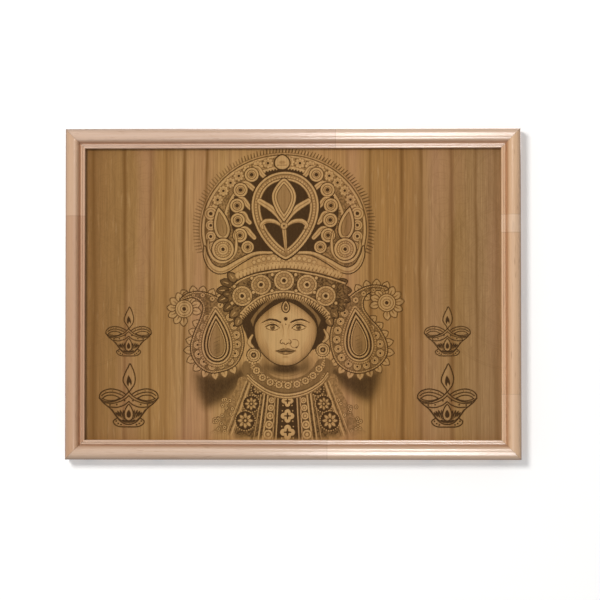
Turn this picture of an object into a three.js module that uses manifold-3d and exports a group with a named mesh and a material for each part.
// A wall-hung wooden plaque: an engraved A4 veneer sheet on a plywood core, held in a mitred
// hardwood moulding by a hardboard back and six metal turn buttons, and hung by a sawtooth hanger.
//
// Units are millimetres and +Z is up. The face looks along -Y and the wall is on the +Y side.
// The origin is the hanging point: the root of the hanger's middle notch, where the wall nail sits.
import * as THREE from "three";
import { mergeVertices } from "three/addons/utils/BufferGeometryUtils.js";
import Module from "manifold-3d";

const wasm = await Module();
wasm.setup();

// ---- Driving dimensions -------------------------------------------------------------------

// The engraved sheet and what backs it, front to back.
const PANEL_WIDTH = 297;
const PANEL_HEIGHT = 210;
const VENEER_THICKNESS = 0.6;
const CORE_THICKNESS = 3.2;
const BACKING_THICKNESS = 3;

// The moulding's section. Widths are across its face, and drops are below its crest.
const FACE_WIDTH = 13.8;
const FRAME_DEPTH = 16;
const LIP_OVERLAP = 3;
const OUTER_WALL = 10;
const CROWN_FALL_WIDTH = 3.6;
const COVE_WIDTH = 1.2;
const INNER_BEAD_WIDTH = 1.3;
const QUIRK_WIDTH = 0.3;
const SIGHT_BEAD_WIDTH = 1.5;
const SHOULDER_DROP = 2.6;
const COVE_DROP = 4.4;
const INNER_BEAD_DROP = 3.5;
const QUIRK_DROP = 4.2;
const SIGHT_BEAD_DROP = 3.8;
const LIP_EDGE_DROP = 4.8;
const BACK_CHAMFER = 0.6;

// Clearances.
const PANEL_CLEARANCE = 0.5;
const CONTACT_GAP = 0.05;
const MITRE_GAP = 0.1;
const WEDGE_CLEARANCE = 0.15;
const SHANK_CLEARANCE = 0.15;
const BORE_RELIEF = 0.5;
const BACKING_RECESS = 0.2;
const BUTTON_LAND_MARGIN = 0.75;
const BUMPER_LAND_MARGIN = 0.75;

// The wedges driven into each mitre from behind, by their distance from the frame's outer edges.
const WEDGE_LEG = 3.6;
const WEDGE_THICKNESS = 0.5;
const WEDGE_LENGTH = 7;
const WEDGE_SINK = 0.3;
const WEDGES_IN = [1.9, 4.6];

// Turn buttons and their screws.
const BUTTON_REACH = 14;
const BUTTON_TIP_RADIUS = 3;
const BUTTON_THICKNESS = 1.2;
const BUTTON_SPACING = 190;
const SCREW_RADIUS = 1.5;
const SCREW_ROOT_RADIUS = 1.15;
const SCREW_LENGTH = 8;
const SCREW_POINT = 2;
const SCREW_PITCH = 1.2;
const SCREW_HEAD_RADIUS = 3.1;
const SCREW_HEAD_HEIGHT = 1.9;
const RECESS_SPAN = 3.2;
const RECESS_WIDTH = 0.7;
const RECESS_DEPTH = 1.1;

// The sawtooth hanger and its nails.
const HANGER_LENGTH = 44;
const HANGER_HEIGHT = 8;
const HANGER_THICKNESS = 0.8;
const HANGER_STANDOFF = 1.8;
const HANGER_TAB = 7;
const HANGER_RAMP = 1.8;
const TOOTH_PITCH = 2.2;
const TOOTH_DEPTH = 1.2;
const TOOTH_COUNT = 9;
const NAIL_RADIUS = 0.8;
const NAIL_LENGTH = 8;
const NAIL_POINT = 1.6;
const NAIL_HEAD_RADIUS = 1.9;
const NAIL_HEAD_HEIGHT = 0.7;

// Bumpers that keep the foot of the frame off the wall.
const BUMPER_THICKNESS = 3.6;
const BUMPER_EDGE = 0.8;
const BUMPER_FROM_SIDE = 16;

// Facets round a turned piece.
const ROUND_SIDES = 24;
const SMALL_SIDES = 16;

// ---- Sizes that follow --------------------------------------------------------------------

const SIGHT_WIDTH = PANEL_WIDTH - 2 * LIP_OVERLAP;
const SIGHT_HEIGHT = PANEL_HEIGHT - 2 * LIP_OVERLAP;
const FRAME_WIDTH = SIGHT_WIDTH + 2 * FACE_WIDTH;
const FRAME_HEIGHT = SIGHT_HEIGHT + 2 * FACE_WIDTH;
const LAYERS_THICKNESS = VENEER_THICKNESS + CORE_THICKNESS + BACKING_THICKNESS;
const RABBET_DEPTH = LAYERS_THICKNESS + 3 * CONTACT_GAP + BACKING_RECESS;
const LAND_WIDTH = FACE_WIDTH - LIP_OVERLAP - PANEL_CLEARANCE;
const LAND_MIDDLE = LAND_WIDTH / 2;
const BUTTON_ROOT_RADIUS = LAND_MIDDLE - BUTTON_LAND_MARGIN;
const BUMPER_RADIUS = LAND_MIDDLE - BUMPER_LAND_MARGIN;
const NAIL_FROM_MIDDLE = (HANGER_LENGTH - HANGER_TAB) / 2;
const HANGER_FOOT_IN = LAND_MIDDLE + HANGER_HEIGHT / 2;

// The moulding's back plane and the frame's centre, seen from the hanging point.
const BACK_Y = -(HANGER_STANDOFF + HANGER_THICKNESS / 2);
const FRAME_TOP = HANGER_FOOT_IN - TOOTH_DEPTH;
const FRAME_CENTRE = new THREE.Vector3(0, BACK_Y, FRAME_TOP - FRAME_HEIGHT / 2);

// ---- Materials ----------------------------------------------------------------------------

const materials = {
  moulding: new THREE.MeshStandardMaterial({ color: 0xcda27c, roughness: 0.3, metalness: 0 }),
  veneer: new THREE.MeshStandardMaterial({ color: 0x9c774a, roughness: 0.6, metalness: 0 }),
  plywood: new THREE.MeshStandardMaterial({ color: 0xc9a877, roughness: 0.75, metalness: 0 }),
  hardboard: new THREE.MeshStandardMaterial({ color: 0x6b4a31, roughness: 0.85, metalness: 0 }),
  zinc: new THREE.MeshStandardMaterial({ color: 0xb9bcc0, roughness: 0.35, metalness: 1 }),
  steel: new THREE.MeshStandardMaterial({ color: 0x8c8f94, roughness: 0.45, metalness: 1 }),
  rubber: new THREE.MeshStandardMaterial({ color: 0x2a2a2a, roughness: 0.9, metalness: 0 }),
};

// ---- Solids and booleans ------------------------------------------------------------------

function solidOf(geometry) {
  const bare = geometry.index ? geometry.toNonIndexed() : geometry.clone();
  bare.deleteAttribute("normal");
  bare.deleteAttribute("uv");
  const merged = mergeVertices(bare, 1e-4);
  return new wasm.Manifold(
    new wasm.Mesh({
      numProp: 3,
      vertProperties: merged.attributes.position.array,
      triVerts: new Uint32Array(merged.index.array),
    }),
  );
}

function geometryOf(solid) {
  const made = solid.getMesh();
  const positions = new Float32Array(made.numVert * 3);
  for (let i = 0; i < made.numVert; i++) {
    const from = i * made.numProp;
    positions.set(made.vertProperties.subarray(from, from + 3), i * 3);
  }
  const geometry = new THREE.BufferGeometry();
  geometry.setAttribute("position", new THREE.BufferAttribute(positions, 3));
  geometry.setIndex(new THREE.BufferAttribute(made.triVerts, 1));
  return geometry;
}

function cut(geometry, cutters) {
  const made = cutters.reduce((solid, cutter) => solid.subtract(solidOf(cutter)), solidOf(geometry));
  return geometryOf(made);
}

function extruded(shape, depth, curveSegments = 6) {
  return new THREE.ExtrudeGeometry(shape, { depth, bevelEnabled: false, curveSegments });
}

function box(width, depth, height) {
  return new THREE.BoxGeometry(width, depth, height);
}

// A piece turned about Y, so a pin points along the wall's normal.
function turned(profile, sides) {
  const points = profile.map(([radius, y]) => new THREE.Vector2(radius, y));
  return new THREE.LatheGeometry(points, sides);
}

function named(name, geometry, material, position = [0, 0, 0]) {
  const mesh = new THREE.Mesh(geometry, material);
  mesh.name = name;
  mesh.position.set(...position);
  return mesh;
}

// ---- The moulding -------------------------------------------------------------------------

// The section: x runs in from the outer edge and y runs from the back to the face.
function mouldingSection() {
  const sightBead = FACE_WIDTH - SIGHT_BEAD_WIDTH;
  const quirk = sightBead - QUIRK_WIDTH;
  const innerBead = quirk - INNER_BEAD_WIDTH;
  const shoulder = innerBead - COVE_WIDTH;
  const crest = shoulder - CROWN_FALL_WIDTH;
  const below = (drop) => FRAME_DEPTH - drop;
  const shape = new THREE.Shape();
  shape.moveTo(BACK_CHAMFER, 0);
  shape.lineTo(LAND_WIDTH, 0);
  shape.lineTo(LAND_WIDTH, RABBET_DEPTH);
  shape.lineTo(FACE_WIDTH, RABBET_DEPTH);
  shape.lineTo(FACE_WIDTH, below(LIP_EDGE_DROP));
  shape.bezierCurveTo(
    FACE_WIDTH, below(SIGHT_BEAD_DROP),
    sightBead, below(SIGHT_BEAD_DROP),
    sightBead, below(QUIRK_DROP),
  );
  shape.lineTo(quirk, below(QUIRK_DROP));
  shape.bezierCurveTo(
    quirk, below(INNER_BEAD_DROP),
    innerBead, below(INNER_BEAD_DROP),
    innerBead, below(COVE_DROP),
  );
  shape.quadraticCurveTo(
    shoulder + COVE_WIDTH / 2, below(COVE_DROP),
    shoulder, below(SHOULDER_DROP),
  );
  shape.bezierCurveTo(
    shoulder - CROWN_FALL_WIDTH / 3, below(SHOULDER_DROP / 5),
    crest + CROWN_FALL_WIDTH / 2, FRAME_DEPTH,
    crest, FRAME_DEPTH,
  );
  shape.bezierCurveTo(
    crest / 3, FRAME_DEPTH,
    0, (FRAME_DEPTH + OUTER_WALL) / 2,
    0, OUTER_WALL,
  );
  shape.lineTo(0, BACK_CHAMFER);
  shape.closePath();
  return shape;
}

// A wedge bent to an L about its mitre, or the slot for it when it is grown by a clearance.
// In a rail's own axes one leg runs along x and the other along z, from the back to the face.
function wedgeGeometry(grow = 0) {
  const near = -WEDGE_THICKNESS / 2 - grow;
  const inner = WEDGE_THICKNESS / 2 + grow;
  const end = WEDGE_LEG + grow;
  const shape = new THREE.Shape();
  shape.moveTo(near, near);
  shape.lineTo(end, near);
  shape.lineTo(end, inner);
  shape.lineTo(inner, inner);
  shape.lineTo(inner, end);
  shape.lineTo(near, end);
  shape.closePath();
  return extruded(shape, WEDGE_LENGTH).rotateX(Math.PI / 2).translate(0, WEDGE_SINK + WEDGE_LENGTH, 0);
}

// A slot is a wedge grown by its clearance and drawn out through the moulding's back.
function wedgeSlot() {
  const deepest = WEDGE_SINK + WEDGE_LENGTH;
  const stretch = (deepest + WEDGE_CLEARANCE + BORE_RELIEF) / WEDGE_LENGTH;
  return wedgeGeometry(WEDGE_CLEARANCE)
    .translate(0, -deepest, 0)
    .scale(1, stretch, 1)
    .translate(0, deepest + WEDGE_CLEARANCE, 0);
}

// A hole for a shank, bored into the back of a rail.
function bore({ radius, depth, along }) {
  const height = depth + BORE_RELIEF;
  return new THREE.CylinderGeometry(radius, radius, height, ROUND_SIDES)
    .translate(LAND_MIDDLE, (depth - BORE_RELIEF) / 2, along);
}

// One rail: the section along its length, its ends mitred, slotted for the wedges and bored.
function railGeometry(length, bores) {
  const rail = extruded(mouldingSection(), length, 8);
  const position = rail.attributes.position;
  const halfGap = MITRE_GAP * Math.SQRT1_2;
  for (let i = 0; i < position.count; i++) {
    const inset = position.getX(i) + halfGap;
    position.setZ(i, position.getZ(i) < length / 2 ? inset : length - inset);
  }
  const cutters = bores.map(bore);
  for (const fromEdge of WEDGES_IN) {
    cutters.push(wedgeSlot().translate(fromEdge, 0, fromEdge));
    cutters.push(wedgeSlot().rotateY(Math.PI / 2).translate(fromEdge, 0, length - fromEdge));
  }
  return cut(rail, cutters).translate(0, 0, -length / 2);
}

// The four sides: the way in towards the picture, the length, how far the outer edge stands from
// the frame's centre, and the corner where the side's own length begins.
const SIDES = {
  bottom_rail: { in: [0, 0, 1], length: FRAME_WIDTH, half: FRAME_HEIGHT / 2, corner: "bottom_left" },
  left_stile: { in: [1, 0, 0], length: FRAME_HEIGHT, half: FRAME_WIDTH / 2, corner: "top_left" },
  top_rail: { in: [0, 0, -1], length: FRAME_WIDTH, half: FRAME_HEIGHT / 2, corner: "top_right" },
  right_stile: { in: [-1, 0, 0], length: FRAME_HEIGHT, half: FRAME_WIDTH / 2, corner: "bottom_right" },
};

// A group whose axes are a side's own: in from the outer edge, back to face, and along.
function sideGroup(side) {
  const inward = new THREE.Vector3(...side.in);
  const face = new THREE.Vector3(0, -1, 0);
  const along = new THREE.Vector3().crossVectors(inward, face);
  const group = new THREE.Group();
  group.quaternion.setFromRotationMatrix(new THREE.Matrix4().makeBasis(inward, face, along));
  group.position.copy(inward).multiplyScalar(-side.half);
  return group;
}

// ---- Turn buttons, screws, nails, hanger, bumpers -----------------------------------------

// The button's plan: a round root about the screw, tapering to a round tip at its reach.
function buttonGeometry() {
  const tipCentre = BUTTON_REACH - BUTTON_TIP_RADIUS;
  const lean = Math.acos((BUTTON_ROOT_RADIUS - BUTTON_TIP_RADIUS) / tipCentre);
  const shape = new THREE.Shape();
  shape.absarc(0, 0, BUTTON_ROOT_RADIUS, lean, 2 * Math.PI - lean, false);
  shape.absarc(tipCentre, 0, BUTTON_TIP_RADIUS, -lean, lean, false);
  shape.closePath();
  const hole = new THREE.Path();
  hole.absarc(0, 0, SCREW_RADIUS + SHANK_CLEARANCE, 0, 2 * Math.PI, true);
  shape.holes.push(hole);
  return extruded(shape, BUTTON_THICKNESS, ROUND_SIDES / 2).rotateX(Math.PI / 2);
}

// A pan-head wood screw that points towards the face, with a cross recess in its head.
function screwGeometry() {
  const threads = Math.floor((SCREW_LENGTH - SCREW_POINT - BUTTON_THICKNESS) / SCREW_PITCH);
  const firstThread = SCREW_POINT - SCREW_LENGTH;
  const neck = firstThread + threads * SCREW_PITCH;
  const profile = [[0, -SCREW_LENGTH]];
  for (let i = 0; i < threads; i++) {
    profile.push([SCREW_ROOT_RADIUS, firstThread + i * SCREW_PITCH]);
    profile.push([SCREW_RADIUS, firstThread + (i + 0.5) * SCREW_PITCH]);
  }
  profile.push([SCREW_ROOT_RADIUS, neck]);
  profile.push([SCREW_RADIUS, neck]);
  profile.push([SCREW_RADIUS, 0]);
  profile.push([SCREW_HEAD_RADIUS, 0]);
  profile.push([SCREW_HEAD_RADIUS, SCREW_HEAD_HEIGHT * 0.35]);
  profile.push([SCREW_HEAD_RADIUS * 0.86, SCREW_HEAD_HEIGHT * 0.75]);
  profile.push([SCREW_HEAD_RADIUS * 0.55, SCREW_HEAD_HEIGHT]);
  profile.push([0, SCREW_HEAD_HEIGHT]);
  const recessY = SCREW_HEAD_HEIGHT + (BORE_RELIEF - RECESS_DEPTH) / 2;
  const recess = RECESS_DEPTH + BORE_RELIEF;
  return cut(turned(profile, ROUND_SIDES), [
    box(RECESS_SPAN, recess, RECESS_WIDTH).translate(0, recessY, 0),
    box(RECESS_WIDTH, recess, RECESS_SPAN).translate(0, recessY, 0),
  ]);
}

function nailGeometry() {
  return turned(
    [
      [0, -NAIL_LENGTH],
      [NAIL_RADIUS, NAIL_POINT - NAIL_LENGTH],
      [NAIL_RADIUS, 0],
      [NAIL_HEAD_RADIUS, 0],
      [NAIL_HEAD_RADIUS, NAIL_HEAD_HEIGHT * 0.6],
      [NAIL_HEAD_RADIUS * 0.8, NAIL_HEAD_HEIGHT],
      [0, NAIL_HEAD_HEIGHT],
    ],
    SMALL_SIDES,
  );
}

// The hanger's strip seen from above, bent so that its middle stands off the rail.
function hangerPlan() {
  const half = HANGER_LENGTH / 2;
  const tab = half - HANGER_TAB;
  const raised = tab - HANGER_RAMP;
  const bends = [
    [-half, CONTACT_GAP],
    [-tab, CONTACT_GAP],
    [-raised, HANGER_STANDOFF],
    [raised, HANGER_STANDOFF],
    [tab, CONTACT_GAP],
    [half, CONTACT_GAP],
  ];
  const shape = new THREE.Shape();
  shape.moveTo(...bends[0]);
  bends.slice(1).forEach(([x, y]) => shape.lineTo(x, y));
  bends.toReversed().forEach(([x, y]) => shape.lineTo(x, y + HANGER_THICKNESS));
  shape.closePath();
  return shape;
}

// The hanger, with nail holes in its tabs and teeth along its lower edge. Its origin is on the
// rail's back, level with that edge.
function hangerGeometry() {
  const holeRadius = NAIL_RADIUS + SHANK_CLEARANCE;
  const cutters = [-1, 1].map((side) =>
    new THREE.CylinderGeometry(holeRadius, holeRadius, 3 * HANGER_THICKNESS, SMALL_SIDES)
      .translate(side * NAIL_FROM_MIDDLE, HANGER_THICKNESS / 2, HANGER_HEIGHT / 2),
  );
  const backOfStrip = HANGER_STANDOFF + HANGER_THICKNESS;
  for (let i = 0; i < TOOTH_COUNT; i++) {
    const x = (i - (TOOTH_COUNT - 1) / 2) * TOOTH_PITCH;
    const notch = new THREE.Shape();
    notch.moveTo(x - TOOTH_PITCH / 2, -TOOTH_DEPTH / 10);
    notch.lineTo(x + TOOTH_PITCH / 2, -TOOTH_DEPTH / 10);
    notch.lineTo(x, TOOTH_DEPTH);
    notch.closePath();
    const through = extruded(notch, 2 * backOfStrip).rotateX(Math.PI / 2);
    cutters.push(through.translate(0, 1.5 * backOfStrip, 0));
  }
  return cut(extruded(hangerPlan(), HANGER_HEIGHT), cutters);
}

function bumperGeometry() {
  return turned(
    [
      [0, 0],
      [BUMPER_RADIUS, 0],
      [BUMPER_RADIUS, BUMPER_THICKNESS - BUMPER_EDGE],
      [BUMPER_RADIUS - BUMPER_EDGE * 0.3, BUMPER_THICKNESS - BUMPER_EDGE * 0.3],
      [BUMPER_RADIUS - BUMPER_EDGE, BUMPER_THICKNESS],
      [0, BUMPER_THICKNESS],
    ],
    ROUND_SIDES,
  );
}

// ---- Assembly -----------------------------------------------------------------------------

const plaque = new THREE.Group();
const frame = new THREE.Group();
frame.position.copy(FRAME_CENTRE);
plaque.add(frame);

// The shanks that each side takes, all even about its middle.
function boresOf(name, length) {
  const screw = { radius: SCREW_RADIUS + SHANK_CLEARANCE, depth: SCREW_LENGTH };
  const nail = { radius: NAIL_RADIUS + SHANK_CLEARANCE, depth: NAIL_LENGTH };
  const middle = length / 2;
  if (name.endsWith("stile")) return [{ ...screw, along: middle }];
  const bores = [-1, 1].map((way) => ({ ...screw, along: middle + (way * BUTTON_SPACING) / 2 }));
  if (name === "bottom_rail") return bores;
  return bores.concat([-1, 1].map((way) => ({ ...nail, along: middle + way * NAIL_FROM_MIDDLE })));
}

// The moulding, each side with the wedges of the corner where it begins.
for (const [name, side] of Object.entries(SIDES)) {
  const group = sideGroup(side);
  group.add(named(name, railGeometry(side.length, boresOf(name, side.length)), materials.moulding));
  WEDGES_IN.forEach((fromEdge, i) => {
    const place = [fromEdge, 0, fromEdge - side.length / 2];
    group.add(named(`mitre_wedge_${side.corner}_${i + 1}`, wedgeGeometry(), materials.steel, place));
  });
  frame.add(group);
}

// The sheet against the lip, then the core, then the back.
const layers = [
  ["engraved_veneer", VENEER_THICKNESS, materials.veneer],
  ["plywood_core", CORE_THICKNESS, materials.plywood],
  ["backing_board", BACKING_THICKNESS, materials.hardboard],
];
let layerFront = -RABBET_DEPTH;
for (const [name, thickness, material] of layers) {
  layerFront += CONTACT_GAP;
  const place = [0, layerFront + thickness / 2, 0];
  frame.add(named(name, box(PANEL_WIDTH, thickness, PANEL_HEIGHT), material, place));
  layerFront += thickness;
}

// The turn buttons, closed: each points from its side towards the middle of the board, and its
// place is where its screw stands, in x and z from the frame's centre.
const landX = FRAME_WIDTH / 2 - LAND_MIDDLE;
const landZ = FRAME_HEIGHT / 2 - LAND_MIDDLE;
const buttons = [
  { name: "top_left", place: [-BUTTON_SPACING / 2, landZ], side: "top_rail" },
  { name: "top_right", place: [BUTTON_SPACING / 2, landZ], side: "top_rail" },
  { name: "bottom_left", place: [-BUTTON_SPACING / 2, -landZ], side: "bottom_rail" },
  { name: "bottom_right", place: [BUTTON_SPACING / 2, -landZ], side: "bottom_rail" },
  { name: "left", place: [-landX, 0], side: "left_stile" },
  { name: "right", place: [landX, 0], side: "right_stile" },
];
for (const { name, place, side } of buttons) {
  const [x, z] = place;
  const [inX, , inZ] = SIDES[side].in;
  const behindButton = CONTACT_GAP + BUTTON_THICKNESS;
  const button = named(`turn_button_${name}`, buttonGeometry(), materials.zinc, [x, behindButton, z]);
  button.rotation.y = Math.atan2(-inZ, inX);
  frame.add(button);
  const screwPlace = [x, behindButton + CONTACT_GAP, z];
  frame.add(named(`button_screw_${name}`, screwGeometry(), materials.zinc, screwPlace));
}

// The hanger on the top rail, and what repeats at left and right: its nails and the bumpers.
const hangerFoot = FRAME_HEIGHT / 2 - HANGER_FOOT_IN;
frame.add(named("sawtooth_hanger", hangerGeometry(), materials.steel, [0, 0, hangerFoot]));
for (const [name, way] of [["left", -1], ["right", 1]]) {
  const behindTab = 2 * CONTACT_GAP + HANGER_THICKNESS;
  const nailPlace = [way * NAIL_FROM_MIDDLE, behindTab, hangerFoot + HANGER_HEIGHT / 2];
  frame.add(named(`hanger_nail_${name}`, nailGeometry(), materials.steel, nailPlace));
  const bumperPlace = [way * (FRAME_WIDTH / 2 - BUMPER_FROM_SIDE), CONTACT_GAP, -landZ];
  frame.add(named(`wall_bumper_${name}`, bumperGeometry(), materials.rubber, bumperPlace));
}

export default plaque;
